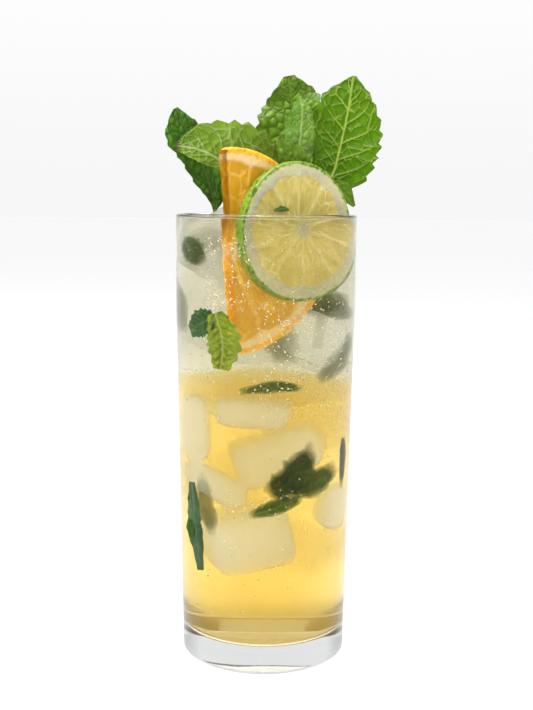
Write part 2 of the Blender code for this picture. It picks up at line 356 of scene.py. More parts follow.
def inner_radius(z):
    """Inside radius of the glass at a height."""
    return outer_radius(z) - WALL


print("rim radius", round(RIM_RADIUS / MM, 2), "mm")


# %% [markdown]
# Where glass and drink touch, the glass's skin and the drink's skin lie almost in one place. Real
# wet glass hardly mirrors there, but two skins would mirror twice and lay a grey veil over the
# drink. So on the touching part of both skins light only bends (a Refraction shader), and the
# glass does so only where it is seen head on: at a glancing angle a real wall does mirror.

# %% Where glass and drink touch
def no_mirror(tree, shader, share, index, colour):
    """Where share is 1 the light bends but does not mirror, as between glass and water."""
    bend = add(tree, "BsdfRefraction", {"Color": colour, "Roughness": 0.0, "IOR": index})
    return add(tree, "MixShader", {0: share, 1: shader, 2: bend}).outputs[0]


def touching_heights(tree, level):
    """1 from just above the glass's floor up to a level, 0 elsewhere."""
    height = position(tree)["Z"]
    return times(tree, maths(tree, 'GREATER_THAN', height, TOUCH_FROM),
                 maths(tree, 'LESS_THAN', height, level))


def inside_of_wall(tree):
    """1 on the inner side of the glass's wall, 0 on its outer side."""
    axis = position(tree)
    flat = add(tree, "CombineXYZ", {0: axis["X"], 1: axis["Y"]})
    radius = add(tree, "VectorMath", {0: flat}, operation='LENGTH').outputs["Value"]
    middle = span(tree, axis["Z"], 0.0, TAPER_TOP, BASE_RADIUS - WALL / 2, RIM_RADIUS - WALL / 2)
    return maths(tree, 'LESS_THAN', radius, middle)


# %% Clear glass
def clear_glass():
    """Clean soda glass with the faintest grey in its depth."""
    material, tree, output = start_material("clear_glass")
    rough = span(tree, spots(tree, 60.0), 0.35, 0.75, 0.0, 0.015)
    shader = add(tree, "BsdfPrincipled", {"Base Color": GLASS_TINT, "Roughness": rough,
                                          "Transmission Weight": 1.0, "IOR": GLASS_BENDS})
    head_on = maths(tree, 'LESS_THAN', add(tree, "LayerWeight").outputs["Facing"], HEAD_ON)
    wet = times(tree, inside_of_wall(tree), touching_heights(tree, DRINK_LEVEL))
    skin = no_mirror(tree, shader.outputs[0], times(tree, wet, head_on), GLASS_BENDS, GLASS_TINT)
    let_lamps_through(tree, output, skin, (0.96, 0.97, 0.96))
    depth = add(tree, "VolumeAbsorption", {"Color": (0.50, 0.53, 0.54), "Density": 11.0})
    tree.links.new(depth.outputs[0], output.inputs["Volume"])
    return material


def ring_edges(z, radius, slack=0.15 * MM):
    """A test for edges that lie on one ring round the axis."""
    def test(centre, edge):
        level = all(abs(v.co.z - z) < slack for v in edge.verts)
        return level and all(abs(v.co.xy.length - radius) < slack for v in edge.verts)
    return test


clear_selection()
bpy.ops.mesh.primitive_cone_add(vertices=GLASS_SIDES, radius1=BASE_RADIUS, radius2=RIM_RADIUS,
                                depth=TAPER_TOP, location=(0, 0, TAPER_TOP / 2))
tumbler = bpy.context.active_object
bpy.ops.object.transform_apply(location=True)
bpy.ops.object.mode_set(mode='EDIT')
pick(tumbler, 'FACE', lambda centre, face: centre.z > TAPER_TOP - MM and face.normal.z > 0.9)
extrude_to(GLASS_HEIGHT - TAPER_TOP)
bpy.ops.mesh.inset(thickness=WALL)
extrude_to(TAPER_TOP - GLASS_HEIGHT)
extrude_to(GLASS_FLOOR - TAPER_TOP)
shrink = inner_radius(GLASS_FLOOR) / inner_radius(TAPER_TOP)
bpy.ops.transform.resize(value=(shrink, shrink, 1), center_override=(0, 0, GLASS_FLOOR))

pick(tumbler, 'EDGE', ring_edges(0, BASE_RADIUS))
bpy.ops.mesh.bevel(offset=FOOT_ROUND, segments=7, affect='EDGES')
pick(tumbler, 'EDGE', ring_edges(GLASS_FLOOR, inner_radius(GLASS_FLOOR)))
bpy.ops.mesh.bevel(offset=FLOOR_ROUND, segments=8, affect='EDGES')
for lip_radius in (RIM_RADIUS, RIM_RADIUS - WALL):
    pick(tumbler, 'EDGE', ring_edges(GLASS_HEIGHT, lip_radius))
    bpy.ops.mesh.bevel(offset=LIP_ROUND, segments=5, affect='EDGES')
pick(tumbler, 'FACE', big_face)
for step in range(12):
    bpy.ops.mesh.inset(thickness=2.0 * MM, use_individual=True)
bpy.ops.mesh.poke()
bpy.ops.object.mode_set(mode='OBJECT')
for vert in tumbler.data.vertices:
    if vert.co.z < 0.1 * MM and vert.co.xy.length < 26 * MM:
        vert.co.z += (0.12 + 0.12 * noise.noise(vert.co * 70)) * MM
settle(tumbler, "tumbler", clear_glass(), "clear_glass", "glass")

# %% [markdown]
# ## Drink
# Lime juice and syrup make the drink cloudy: it scatters light, so what lies deep in it goes
# soft. It reaches just into the glass wall, because a gap of air there would mirror like quicksilver.
# Its colour runs from amber at the foot to a pale grey green at the top, by height.

# %% Drink sizes
OVERLAP = 0.2 * MM
MENISCUS = 0.7 * MM
CLOUDINESS = 28.0
FORWARD = 0.94
AMBER_TOP = 98 * MM


# %% Cloudy liquid
def absorb(tree, per_metre):
    """Volume absorption from how much of red, green and blue one metre takes."""
    most = max(per_metre)
    colour = tuple(1.0 - share / most * 0.95 for share in per_metre)
    return add(tree, "VolumeAbsorption", {"Color": colour, "Density": most / 0.95})


def cloudy_liquid():
    """A fine forward cloud and a faint green tint; the skin round each ice block is unseen."""
    material, tree, output = start_material("cloudy_liquid")
    wander = span(tree, spots(tree, 38.0), 0.3, 0.7, -9 * MM, 9 * MM)
    level = maths(tree, 'ADD', position(tree)["Z"], wander)
    colour = ramp(tree, span(tree, level, 0.0, DRINK_LEVEL),
                  [(0.05, (1.0, 0.93, 0.78)), (0.50, (1.0, 0.95, 0.84)), (0.68, (0.97, 0.97, 0.92)),
                   (0.95, (0.97, 0.98, 0.93))])
    shader = add(tree, "BsdfPrincipled", {"Base Color": colour, "Roughness": 0.0,
                                          "Transmission Weight": 1.0, "IOR": DRINK_BENDS})
    wall = no_mirror(tree, shader.outputs[0], touching_heights(tree, DRINK_LEVEL - 0.3 * MM),
                     DRINK_BENDS, (1.0, 0.99, 0.95))
    inner = add(tree, "Attribute", attribute_name="inner")
    unseen = add(tree, "BsdfTransparent")
    skin = add(tree, "MixShader", {0: inner.outputs["Fac"], 1: wall, 2: unseen})
    let_lamps_through(tree, output, skin.outputs[0], (0.98, 0.98, 0.96))
    cloud_and_tint(tree, output, (1.0, 0.97, 0.80), (3.2, 3.6, 7.5))
    return material


def cloud_and_tint(tree, output, cloud_colour, per_metre):
    """Half the drink's cloud, which scatters light mostly forward, and absorption on top of it."""
    cloud = add(tree, "VolumeScatter", {"Color": cloud_colour, "Density": CLOUDINESS / 2,
                                        "Anisotropy": FORWARD})
    tint = absorb(tree, per_metre)
    both = add(tree, "AddShader", {0: cloud, 1: tint})
    tree.links.new(both.outputs[0], output.inputs["Volume"])


def layer_liquid(name, cloud_colour, per_metre):
    """One layer of the drink: no skin of its own, only more cloud and more colour."""
    material, tree, output = start_material(name)
    cloud_and_tint(tree, output, cloud_colour, per_metre)
    return material


# %% Drink shape
def drink_column(top, raise_edge):
    """A body of liquid that fills the glass from just inside its floor up to a level."""
    base = GLASS_FLOOR - OVERLAP
    waist = min(top, TAPER_TOP)
    clear_selection()
    bpy.ops.mesh.primitive_cone_add(vertices=GLASS_SIDES, radius1=inner_radius(base) + OVERLAP,
                                    radius2=inner_radius(waist) + OVERLAP, depth=waist - base,
                                    location=(0, 0, (waist + base) / 2))
    column = bpy.context.active_object
    bpy.ops.object.transform_apply(location=True)
    bpy.ops.object.mode_set(mode='EDIT')
    pick(column, 'FACE', lambda centre, face: centre.z > waist - MM and face.normal.z > 0.9)
    if top > waist:
        extrude_to(top + raise_edge - waist)
        for width, drop in ((0.45 * MM, 0.40), (0.55 * MM, 0.35), (0.7 * MM, 0.25)):
            bpy.ops.mesh.inset(thickness=width)
            bpy.ops.transform.translate(value=(0, 0, -raise_edge * drop))
    bpy.ops.mesh.inset(thickness=4 * MM)
    pick(column, 'EDGE', ring_edges(base, inner_radius(base) + OVERLAP))
    bpy.ops.mesh.bevel(offset=FLOOR_ROUND, segments=8, affect='EDGES')
    pick(column, 'FACE', lambda centre, face: big_face(centre, face) and centre.z < 20 * MM)
    bpy.ops.mesh.inset(thickness=0.4 * MM)
    bpy.ops.object.mode_set(mode='OBJECT')
    return column


drink = drink_column(DRINK_LEVEL, MENISCUS)
amber = drink_column(AMBER_TOP, 0.0)
haze = drink_column(DRINK_LEVEL - 0.3 * MM, 0.0)
take(haze)
bpy.ops.object.mode_set(mode='EDIT')
bpy.ops.mesh.select_all(action='SELECT')
bpy.ops.mesh.bisect(plane_co=(0, 0, AMBER_TOP + 0.5 * MM), plane_no=(0, 0, 1), use_fill=True,
                    clear_inner=True)
bpy.ops.object.mode_set(mode='OBJECT')
for layer in (amber, haze):
    take(layer)
    bpy.ops.object.mode_set(mode='EDIT')
    pick(layer, 'FACE', lambda centre, face: abs(centre.z - AMBER_TOP) < MM and big_face(centre, face))
    for step in range(12):
        bpy.ops.mesh.inset(thickness=1.9 * MM)
    bpy.ops.mesh.poke()
    bpy.ops.object.mode_set(mode='OBJECT')
    hump = 9 * MM if layer == amber else -9 * MM
    for vert in layer.data.vertices:
        vert.co.xy *= 1 - 0.25 * MM / inner_radius(vert.co.z)
        if abs(vert.co.z - AMBER_TOP) < MM:
            middle = max(0.0, 1 - vert.co.xy.length / inner_radius(AMBER_TOP))
            vert.co.z += hump * middle ** 0.7 + 3 * MM * noise.noise(vert.co * 60)
print("drink to", round(DRINK_LEVEL / MM, 1), "mm, amber to", round(AMBER_TOP / MM), "mm")

# %% [markdown]
# ## Ice
# Bar ice is clear at its skin and white inside, with every edge melted round. Each block is a
# cube, bevelled and subdivided, its points pushed in and out a little by noise. The blocks are
# joined and remeshed to one skin. The drink gets the same shapes as hollows, turned inside out:
# that keeps the drink's colour out of the ice, so the ice stays white in golden liquid. The ice
# also has a painted glow, an emission that stands in for the light that gathers in a cloudy
# drink and that the renderer would lose.

# %% Ice finish
ICE_BENDS = 1.31
SUNK_ICE_BENDS = 1.012


def ice_finish(name, cloud, index, per_metre, glow):
    """Wet ice: smooth skin, white cloud inside, and a painted glow, an emission standing in for the light
    that gathers in it.
    """
    material, tree, output = start_material(name)
    frost = spots(tree, 160.0, 3.0)
    rough = span(tree, frost, 0.4, 0.65, 0.02, 0.22)
    bump = add(tree, "Bump", {"Strength": 0.4, "Distance": 0.5 * MM, "Height": frost})
    shader = add(tree, "BsdfPrincipled", {"Base Color": (0.99, 0.99, 0.97), "Roughness": rough,
                                          "Transmission Weight": 1.0, "IOR": index,
                                          "Normal": bump})
    let_lamps_through(tree, output, shader.outputs[0], (0.99, 0.99, 0.98))
    inner = add(tree, "VolumeScatter", {"Color": (1.0, 1.0, 0.99), "Density": cloud,
                                        "Anisotropy": 0.45})
    tint = absorb(tree, per_metre)
    # Painted glow: the ice emits light, standing in for the light that gathers in the cloudy drink.
    painted_glow = add(tree, "Emission", {"Color": (0.93, 0.98, 1.0), "Strength": glow})
    both = add(tree, "AddShader", {0: inner, 1: tint})
    all_three = add(tree, "AddShader", {0: both, 1: painted_glow})
    tree.links.new(all_three.outputs[0], output.inputs["Volume"])
    return material


# %% Ice blocks
def ice_block(centre, size, turn, melt=4.2, seed=1):
    """One melted block of ice."""
    clear_selection()
    bpy.ops.mesh.primitive_cube_add(size=1.0, location=Vector(centre) * MM,
                                    rotation=[math.radians(a) for a in turn])
    block = bpy.context.active_object
    block.scale = Vector(size) * MM
    bpy.ops.object.transform_apply(location=False, rotation=False, scale=True)
    bpy.ops.object.mode_set(mode='EDIT')
    bpy.ops.mesh.bevel(offset=melt * MM, segments=3, affect='EDGES')
    bpy.ops.mesh.subdivide(number_cuts=2)
    bpy.ops.object.mode_set(mode='OBJECT')
    for vert in block.data.vertices:
        away = noise.noise(vert.co * 95 + Vector((seed, seed * 2, 0)))
        away += 0.4 * noise.noise(vert.co * 260 + Vector((0, seed, seed)))
        vert.co += vert.co.normalized() * away * 1.5 * MM
    apply_modifier(block, 'SUBSURF', levels=1, render_levels=1)
    return block


top_ice = ice_block((-15.2, -1.0, 149.8), (18, 18, 18), (38, -27, 24), melt=2.4, seed=5)
settle(top_ice, "ice_breaking_surface",
       ice_finish("ice_top", 60.0, ICE_BENDS, (3.0, 3.0, 5.0), 3.0), "ice", "ice_cube_top", angle=60)

# %% Sunk ice
UPPER_ICE = [
    ((-15.5, -13, 132), (15, 13, 30), (6, 8, 20)),
    ((16, -14, 117), (18, 15, 17), (12, 20, 38)),
    ((9, 11, 138), (20, 20, 20), (20, 30, 10)),
    ((-6, 13, 118), (21, 20, 20), (30, 8, 50)),
    ((13, 13, 112), (17, 18, 16), (12, 40, 25)),
]
LOWER_ICE = [
    ((-22.0, -9.0, 85), (11, 24, 23), (0, -4, -12)),
    ((-3.5, -12.0, 91.5), (24, 26, 9), (4, 4, -4)),
    ((4, -7, 76), (27, 28, 15), (4, -22, 4)),
    ((-15, -9, 65), (22, 26, 9), (-4, 26, -10)),
    ((-5, -9, 46), (27, 30, 19), (6, -14, 6)),
    ((21, -6, 56), (11, 24, 15), (0, 12, 20)),
]
BACK_ICE = [
    ((9, 20, 84), (19, 12, 17), (6, 20, 5)),
    ((-9, 20, 62), (20, 12, 20), (4, 16, 10)),
    ((8, 20, 36), (20, 12, 18), (6, 34, 2)),
]


def melt_together(blocks_at, seed):
    """Join blocks and remesh them to one smooth skin that stays off the glass."""
    blocks = [ice_block(centre, size, turn, seed=seed + i)
              for i, (centre, size, turn) in enumerate(blocks_at)]
    clear_selection()
    for block in blocks:
        block.select_set(True)
    bpy.context.view_layer.objects.active = blocks[0]
    bpy.ops.object.join()
    heap = bpy.context.active_object
    bpy.ops.object.transform_apply(location=True, rotation=True, scale=True)
    apply_modifier(heap, 'REMESH', mode='VOXEL', voxel_size=0.9 * MM)
    apply_modifier(heap, 'SMOOTH', factor=0.5, iterations=26)
    for vert in heap.data.vertices:
        room = inner_radius(vert.co.z) - 0.6 * MM
        if vert.co.xy.length > room:
            vert.co.xy *= room / vert.co.xy.length
    print("ice joined:", len(heap.data.polygons), "faces")
    return heap


upper_ice = melt_together(UPPER_ICE, 9)
lower_ice = melt_together(LOWER_ICE, 30)
back_ice = melt_together(BACK_ICE, 50)


# %% Hollows for the ice
def hollow_out(liquid, heap):
    """Add the ice's shape, slightly smaller and inside out, to a body of liquid."""
    take(heap)
    bpy.ops.object.duplicate()
    hollow = bpy.context.active_object
    normals = [vert.normal.copy() for vert in hollow.data.vertices]
    for vert, normal in zip(hollow.data.vertices, normals):
        vert.co -= normal * 0.1 * MM
    bpy.ops.object.mode_set(mode='EDIT')
    bpy.ops.mesh.select_all(action='SELECT')
    bpy.ops.mesh.flip_normals()
    bpy.ops.object.mode_set(mode='OBJECT')
    mark = hollow.data.attributes.new("inner", 'FLOAT', 'POINT')
    mark.data.foreach_set("value", [1.0] * len(hollow.data.vertices))
    if "inner" not in liquid.data.attributes:
        liquid.data.attributes.new("inner", 'FLOAT', 'POINT')
    take(liquid)
    hollow.select_set(True)
    bpy.ops.object.join()


hollow_out(drink, upper_ice)
for heap in (lower_ice, back_ice):
    hollow_out(drink, heap)
    hollow_out(amber, heap)
hollow_out(haze, upper_ice)
settle(drink, "mojito", cloudy_liquid(), "mojito", "drink", angle=50)
for layer, name, finish, cloud_colour, per_metre in (
        (amber, "amber_layer", "amber_syrup", (1.0, 0.86, 0.42), (0.8, 7.5, 32.0)),
        (haze, "haze_layer", "green_haze", (0.96, 1.0, 0.80), (3.8, 4.3, 6.2))):
    settle(layer, name, layer_liquid(finish, cloud_colour, per_metre), "mojito", angle=50)
# The last column is the strength of each heap's painted glow.
for part, heap, cloud, per_metre, glow in (
        ("upper", upper_ice, 50.0, (2.5, 3.0, 6.0), 9.5),
        ("lower", lower_ice, 110.0, (1.0, 1.4, 2.0), 17.0),
        ("back", back_ice, 36.0, (2.0, 4.0, 10.0), 2.0)):
    settle(heap, "sunk_ice_" + part, ice_finish("ice_" + part, cloud, SUNK_ICE_BENDS, per_metre, glow),
           "ice", angle=70)

# %% [markdown]
# ## Citrus
# A citrus slice is rind, white pith, and pockets of juice sacs between thin skins that meet in a
# core. Each slice starts as a cylinder, is inset ring by ring, and its points are then sunk or
# raised by their angle and radius. A flat map of the slice (a UV map) tells the shader the same
# angle and radius, so colour and relief agree. Below the drink's surface the fruit has a painted
# glow, an emission of its own colour that stands in for the light that gathers in the drink and
# that the renderer would lose.

# %% Slice sizes
SLICE_ALONG = Vector((0.8368, 0.5476, 0.0))
SLICE_FRONT = Vector((0.5476, -0.8368, 0.0))
LIME_CENTRE = Vector((10.1, -13.1, 154.2)) * MM
LIME_RADIUS = 24.0 * MM
LIME_SQUEEZE = 0.95
LIME_THICKNESS = 3.8 * MM
ORANGE_RADIUS = 35 * MM
ORANGE_THICKNESS = 5.0 * MM
ORANGE_LEAN = math.radians(5.5)
ORANGE_LEFT = 22.2 * MM
ORANGE_HEIGHT = 147.3 * MM
SLICE_GAP = 0.4 * MM
SLICE_RINGS = 36


# %% Citrus flesh
def citrus_finish(name, rind, rind_dark, pith, flesh, flesh_deep, skin, segments, turned,
                  pith_from, core, sacs, skin_strength, rind_from, glow):
    """Rind, pith, skins and juice sacs, all drawn from the slice's own flat map."""
    material, tree, output = start_material(name)
    chart = add(tree, "UVMap", uv_map="slice")
    flat = add(tree, "SeparateXYZ", {0: chart})
    x, y = (times(tree, maths(tree, 'SUBTRACT', flat.outputs[i], 0.5), 2.0) for i in (0, 1))
    radius = maths(tree, 'SQRT', maths(tree, 'ADD', times(tree, x, x), times(tree, y, y)))
    angle = maths(tree, 'ARCTAN2', y, x)
    shift = span(tree, spots(tree, 260.0, 3.0), 0.2, 0.8, -0.10, 0.10)
    turns = maths(tree, 'ADD', times(tree, angle, segments / math.tau), shift)
    inside = maths(tree, 'FRACT', maths(tree, 'ADD', turns, 100.0 + turned))
    from_skin = maths(tree, 'MINIMUM', inside, maths(tree, 'SUBTRACT', 1.0, inside))
    across = times(tree, times(tree, from_skin, radius), math.tau / segments)
    skins = span(tree, across, 0.008, 0.030, skin_strength, 0.0)

    sac_place = add(tree, "CombineXYZ", {0: times(tree, turns, sacs), 1: times(tree, radius, 4.5)})
    cells = {"Vector": sac_place, "Scale": 1.0}
    sac = add(tree, "TexVoronoi", cells)
    edges = add(tree, "TexVoronoi", cells, feature='DISTANCE_TO_EDGE')
    pulp = blend(tree, span(tree, sac.outputs["Distance"], 0.1, 0.75), flesh, flesh_deep)
    soft = spots(tree, 110.0, 3.0)
    torn = times(tree, span(tree, edges.outputs["Distance"], 0.0, 0.10, 1.0, 0.0),
                 span(tree, soft, 0.40, 0.62, 0.0, 0.85))
    pulp = blend(tree, torn, pulp, skin)
    pulp = blend(tree, skins, pulp, skin)
    ragged = maths(tree, 'ADD', radius, times(tree, shift, 0.12))
    pulp = blend(tree, span(tree, ragged, core, core * 2.0, 0.8, 0.0), pulp, pith)
    off_skin = maths(tree, 'SUBTRACT', 1.0, times(tree, from_skin, 2.0))
    rounded = times(tree, maths(tree, 'POWER', off_skin, 3.0), 0.05)
    pulp_edge = span(tree, maths(tree, 'ADD', ragged, rounded), pith_from, pith_from + 0.035)
    pale = blend(tree, span(tree, soft, 0.35, 0.65, 0.0, 0.35), pith, skin)
    colour = blend(tree, pulp_edge, pulp, pale)

    place = add(tree, "TexCoord")
    pores = add(tree, "TexVoronoi", {"Vector": place.outputs["Object"], "Scale": 620.0})
    spotted = blend(tree, span(tree, pores.outputs["Distance"], 0.15, 0.55), rind_dark, rind)
    rim = maths(tree, 'ADD', radius, span(tree, pores.outputs["Distance"], 0.0, 0.7, 0.012, -0.012))
    colour = blend(tree, span(tree, rim, rind_from, rind_from + 0.022), colour, spotted)
    wet = span(tree, sac.outputs["Distance"], 0.0, 0.8, 0.12, 0.34)
    hill = blend(tree, pulp_edge, edges.outputs["Distance"], pores.outputs["Distance"])
    bump = add(tree, "Bump", {"Strength": 0.6, "Distance": 0.5 * MM, "Height": hill})
    # Painted glow: below the drink's surface the fruit emits its own colour, standing in for light gathered
    # in the drink.
    sunk = span(tree, position(tree)["Z"], DRINK_LEVEL - 8 * MM, DRINK_LEVEL, glow, 0.0)
    painted_glow_colour = blend(tree, sunk, (0.0, 0.0, 0.0), colour)
    shader = add(tree, "BsdfPrincipled", {"Base Color": colour, "Roughness": wet,
                                          "Emission Color": painted_glow_colour, "Emission Strength": 1.0,
                                          "Normal": bump, "Subsurface Weight": 0.8,
                                          "Subsurface Scale": 5.0 * MM, "Coat Weight": 0.3,
                                          "Coat Roughness": 0.1})
    shader.inputs["Subsurface Radius"].default_value = (1.0, 0.9, 0.5)
    tree.links.new(shader.outputs[0], output.inputs["Surface"])
    return material


# %% Citrus shape
def citrus_slice(radius, thickness, segments, turned, half_slice, pocket, lean, centre, squeeze=1.0):
    """Inset a cylinder into rings, cut it if it is a half slice, then shape pulp and skins."""
    clear_selection()
    bpy.ops.mesh.primitive_cylinder_add(vertices=segments * 20, radius=radius, depth=thickness)
    fruit = bpy.context.active_object
    bpy.ops.object.mode_set(mode='EDIT')
    pick(fruit, 'EDGE', lambda centre, edge: abs(edge.verts[0].co.z - edge.verts[1].co.z) < 1e-6)
    bpy.ops.mesh.bevel(offset=0.7 * MM, segments=4, affect='EDGES')
    pick(fruit, 'FACE', big_face)
    for step in range(SLICE_RINGS - 3):
        bpy.ops.mesh.inset(thickness=radius / SLICE_RINGS, use_individual=True)
    bpy.ops.mesh.poke()
    if half_slice:
        bpy.ops.mesh.select_all(action='SELECT')
        bpy.ops.mesh.bisect(plane_co=(0, 0, 0), plane_no=(0, 1, 0), use_fill=True, clear_inner=True)
        bpy.ops.mesh.inset(thickness=0.5 * MM)
        pick(fruit, 'EDGE', lambda centre, edge: abs(centre.y) < 1e-6 and abs(centre.z) > thickness * 0.45)
        bpy.ops.mesh.bevel(offset=0.9 * MM, segments=3, affect='EDGES')
    bpy.ops.object.mode_set(mode='OBJECT')

    mesh = fruit.data
    chart = mesh.uv_layers.new(name="slice")
    for loop in mesh.loops:
        flat = mesh.vertices[loop.vertex_index].co.xy / radius
        chart.data[loop.index].uv = (0.5 + flat.x / 2, 0.5 + flat.y / 2)
    corner = 3.2 * MM
    for vert in mesh.vertices:
        share = vert.co.xy.length / radius
        angle = math.atan2(vert.co.y, vert.co.x)
        if share > 0.93:
            rough = noise.noise(vert.co * 480) * 0.18 * MM + noise.noise(vert.co * 130) * 0.25 * MM
            vert.co.xy *= 1 - abs(rough) / radius
        elif abs(vert.co.z) > thickness * 0.3:
            turns = (angle / math.tau * segments + turned) % 1.0
            from_skin = min(turns, 1 - turns) * 2
            band = max(0.0, min(1.0, (share - 0.12) / 0.08)) * max(0.0, min(1.0, (0.86 - share) / 0.05))
            grain = noise.noise(Vector((angle * 14, share * 9, vert.co.z * 900)))
            fine = noise.noise(vert.co * 420)
            sink = pocket * band * min(1.0, from_skin * 3.0) * (0.65 + 0.6 * grain) + 0.1 * MM * fine
            vert.co.z -= math.copysign(sink, vert.co.z)
        if half_slice:
            inward = Vector((abs(vert.co.x) - (radius - corner), vert.co.y - corner))
            if inward.x > 0 and inward.y < 0 and inward.length > corner:
                inward *= corner / inward.length
                vert.co.x = math.copysign(radius - corner + inward.x, vert.co.x)
                vert.co.y = corner + inward.y

    up = Vector((0, 0, 1))
    across = SLICE_ALONG * math.sin(lean) - up * math.cos(lean)
    rise = SLICE_ALONG * math.cos(lean) + up * math.sin(lean)
    turn = Matrix((across, rise * squeeze, SLICE_FRONT)).transposed()
    fruit.matrix_world = Matrix.Translation(centre) @ turn.to_4x4()
    return fruit


# %% Lime wheel
# glow sets the strength of the fruit's painted glow below the drink's surface.
lime_finish = citrus_finish(
    "lime_fruit", rind=(0.20, 0.32, 0.03), rind_dark=(0.06, 0.14, 0.01), pith=(0.52, 0.51, 0.34),
    flesh=(0.74, 0.62, 0.19), flesh_deep=(0.60, 0.49, 0.10), skin=(0.84, 0.76, 0.40),
    segments=10, turned=0.0, pith_from=0.79, core=0.07, sacs=3.0, skin_strength=0.35,
    rind_from=0.938, glow=0.26)
lime = citrus_slice(LIME_RADIUS, LIME_THICKNESS, 10, 0.0, False, 0.45 * MM, 0.0, LIME_CENTRE,
                    squeeze=LIME_SQUEEZE)
settle(lime, "lime_wheel_cut", lime_finish, "lime_fruit", "lime_wheel", angle=50)

# %% Orange slice
orange_finish = citrus_finish(
    "orange_fruit", rind=(0.86, 0.45, 0.02), rind_dark=(0.74, 0.30, 0.008), pith=(0.78, 0.60, 0.30),
    flesh=(0.72, 0.39, 0.012), flesh_deep=(0.60, 0.29, 0.005), skin=(0.86, 0.57, 0.10),
    segments=10, turned=0.5, pith_from=0.855, core=0.05, sacs=4.0, skin_strength=0.5,
    rind_from=0.925, glow=0.50)
lime_back = LIME_CENTRE.dot(SLICE_FRONT) - LIME_THICKNESS / 2
orange_depth = lime_back - SLICE_GAP - ORANGE_THICKNESS / 2
orange_centre = SLICE_FRONT * orange_depth - SLICE_ALONG * ORANGE_LEFT + Vector((0, 0, ORANGE_HEIGHT))
orange = citrus_slice(ORANGE_RADIUS, ORANGE_THICKNESS, 10, 0.5, True, 0.5 * MM, ORANGE_LEAN, orange_centre)
settle(orange, "orange_half_slice", orange_finish, "orange_fruit", "orange_slice", angle=50)

# %% [markdown]
# ## Mint
# A mint leaf is a thin sheet with a toothed margin, a strong midrib, side veins that curve
# towards the tip, and a fine net between them that puckers the skin. A grid is bent along the
# leaf's spine, and a `vein` attribute on its points drives both the relief and the colour. A
# `dome` attribute raises the puckers, and its colour is painted light on their tops and painted
# shade in the hollows between them.

# %% Leaf surface
LEAF_THICKNESS = 0.32 * MM


def follow(points, share):
    """Smooth curve through evenly spaced points or numbers; share runs from 0 to 1."""
    spans = len(points) - 1
    place = min(max(share, 0.0), 1.0) * spans
    k = min(int(place), spans - 1)
    t = place - k
    p1 = points[k]
    p2 = points[k + 1]
    p0 = points[k - 1] if k > 0 else p1 - (p2 - p1)
    p3 = points[k + 2] if k + 2 <= spans else p2 + (p2 - p1)
    square = (p0 * 2 - p1 * 5 + p2 * 4 - p3) * t ** 2
    cube = (p1 * 3 - p0 - p2 * 3 + p3) * t ** 3
    return (p1 * 2 + (p2 - p0) * t + square + cube) * 0.5


def vein_at(share, v, length, width, seed, cell):
    """How much of a vein there is at a place on the leaf, and how far the skin bulges there."""
    along = share * length
    off = v * width
    midrib = math.exp(-(off / 0.42) ** 2) * (1.15 - 0.5 * share)
    spacing = 0.15
    bend = 0.17 * abs(v) ** 0.8 + 0.10 * abs(v) ** 4
    slant = (share - bend + (0.05 if v < 0 else 0.0)) / spacing
    gap = abs(slant - round(slant)) * spacing * length
    side = math.exp(-(gap / 0.24) ** 2) * (1.0 - 0.45 * abs(v))
    wander = Vector((along / cell + seed, off / cell, seed * 1.7))
    near = noise.voronoi(wander)[0]
    edge = near[1] - near[0]
    net = math.exp(-(edge / 0.065) ** 2) * 0.6
    dome = min(1.0, edge * 1.5) * min(1.0, gap / 0.9) * min(1.0, abs(off) / 0.9)
    return min(1.0, max(midrib, side, net)), dome


def mint_leaf(name, spine, left, right, face, fold=0.1, wave=0.6, waves=2.0, phase=0.0,
              rows=140, columns=76, relief=0.5, raised=False, teeth=11, tooth=0.15,
              cell=2.6):
    """Bend a grid along a spine, tooth its margin and raise or sink its veins."""
    clear_selection()
    bpy.ops.mesh.primitive_grid_add(x_subdivisions=rows, y_subdivisions=columns, size=1.0)
    leaf = bpy.context.active_object
    mesh = leaf.data
    points = [Vector(p) * MM for p in spine]
    outward = Vector(face).normalized()
    length = sum((b - a).length for a, b in zip(points, points[1:])) / MM
    seed = sum(ord(letter) for letter in name) % 97
    marks = {mark: [0.0] * len(mesh.vertices) for mark in ("vein", "dome", "side", "body", "along")}
    for vert in mesh.vertices:
        share = vert.co.x + 0.5
        v = vert.co.y * 2
        ahead = follow(points, min(1.0, share + 0.02)) - follow(points, max(0.0, share - 0.02))
        across = ahead.cross(outward).normalized()
        out = across.cross(ahead).normalized()
        width = max(0.25, follow(right if v > 0 else left, share))
        saw = (share * teeth + (0.35 if v > 0 else 0.0)) % 1.0
        bite = tooth * ((saw if saw < 0.75 else (1 - saw) * 3) - 0.55) * min(1.0, width / 4)
        away = v * width * MM * (1.0 + bite * abs(v) ** 6)
        turn = math.tau * waves * share + phase + (1.9 if v < 0 else 0.0)
        ripple = wave * math.sin(turn) * abs(v) ** 1.5 * min(1.0, width / 5)
        vein, dome = vein_at(share, v, length, width, seed, cell)
        strength = relief * min(1.0, width / 3) * (1.0 - 0.4 * abs(v) ** 3)
        bump = strength * (0.8 * vein - dome if raised else dome - 0.7 * vein)
        rough = 0.35 * noise.noise(Vector((share * length / 4, v * width / 4, seed)))
        marks["vein"][vert.index] = vein
        marks["dome"][vert.index] = dome
        marks["along"][vert.index] = share
        marks["side"][vert.index] = min(1.0, max(0.0, 0.5 + v * 4))
        marks["body"][vert.index] = max(0.0, (1 - abs(v) ** 2) * min(1.0, share * 5, (1 - share) * 5))
        lift = fold * abs(away) + (ripple + bump + rough) * MM
        vert.co = follow(points, share) + across * away + out * lift
    for mark, values in marks.items():
        layer = mesh.attributes.new(mark, 'FLOAT', 'POINT')
        layer.data.foreach_set("value", values)
    apply_modifier(leaf, 'SOLIDIFY', thickness=LEAF_THICKNESS, offset=0.0)
    leaf.name = name
    return leaf


